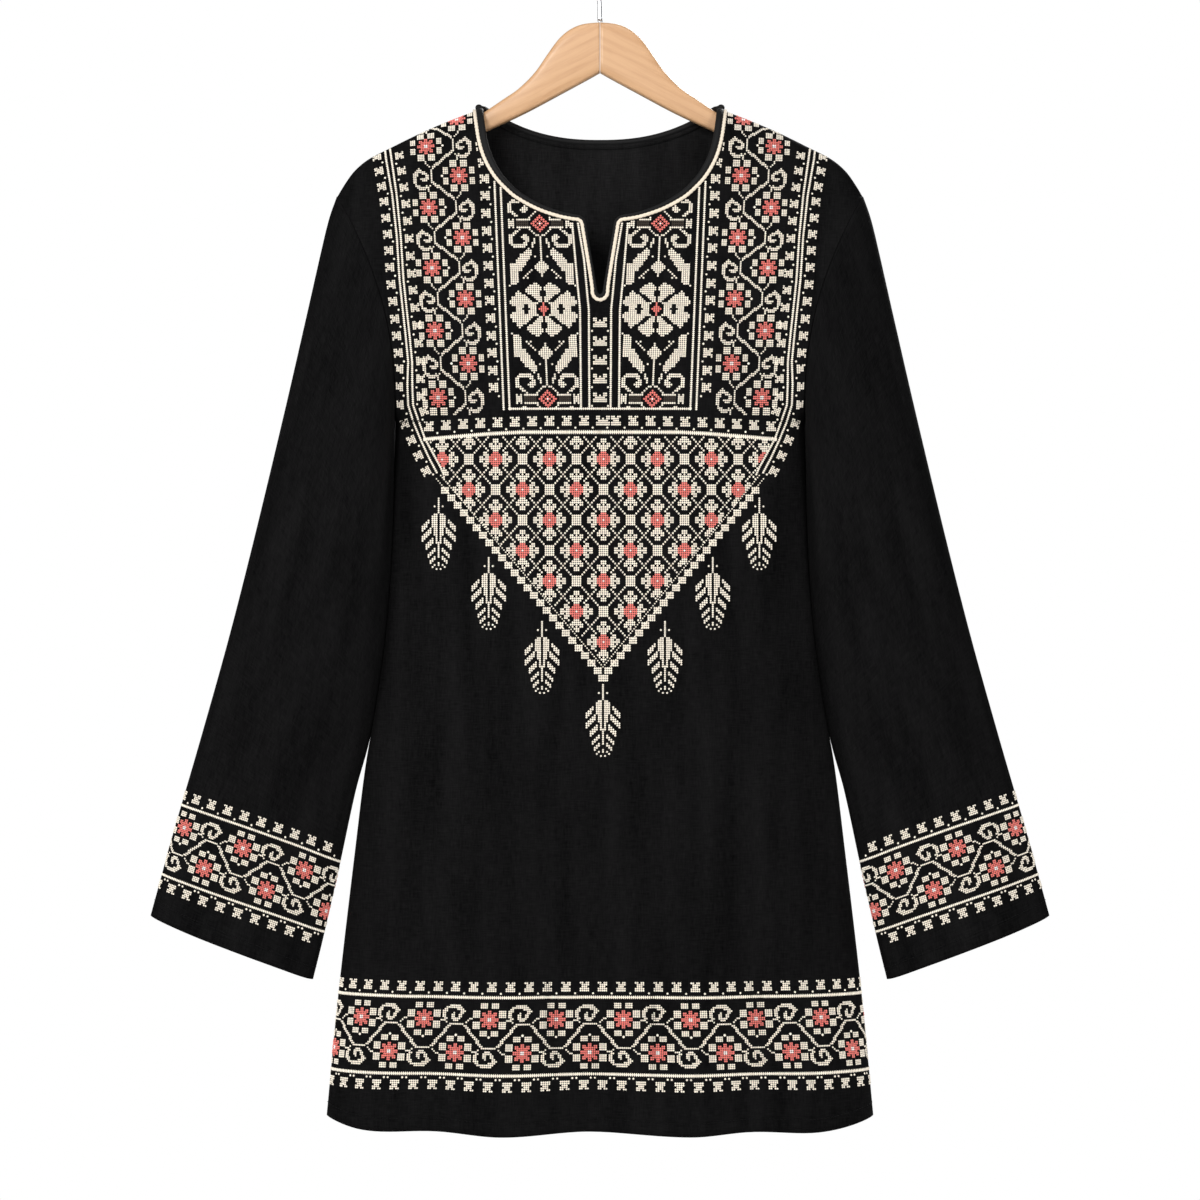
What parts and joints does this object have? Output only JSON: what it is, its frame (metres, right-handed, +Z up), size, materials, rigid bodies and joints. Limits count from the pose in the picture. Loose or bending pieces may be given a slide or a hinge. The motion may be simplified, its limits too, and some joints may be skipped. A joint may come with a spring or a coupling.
{
  "type": "tunic on a hanger",
  "caption": "Black long-sleeved embroidered tunic with a round neck and slit, flared sleeves and hem, hung on a wooden hanger with a steel hook.",
  "frame": {"origin": "the lowest point of the inside of the hook's crown, where it rests on a rail", "axes": "+Z up along the height of the garment; -Y out of the front; +X to the wearer's left"},
  "size_m": [0.719, 0.1063, 0.962],
  "materials": {
    "cloth": "matte black plain-weave cotton",
    "binding": "rolled black bias binding",
    "braid": "cream corded edging",
    "wood": "pale beech with a satin clear coat",
    "steel": "plain bright wire"
  },
  "bodies": {
    "root": {"tunic_front": "cloth", "tunic_back": "cloth", "sleeve_left": "cloth", "sleeve_right": "cloth", "neck_binding_front": "binding", "neck_binding_back": "binding", "neck_braid": "braid", "hanger_arm_left": "wood", "hanger_arm_right": "wood", "hanger_hook": "steel"}
  },
  "joints": []
}
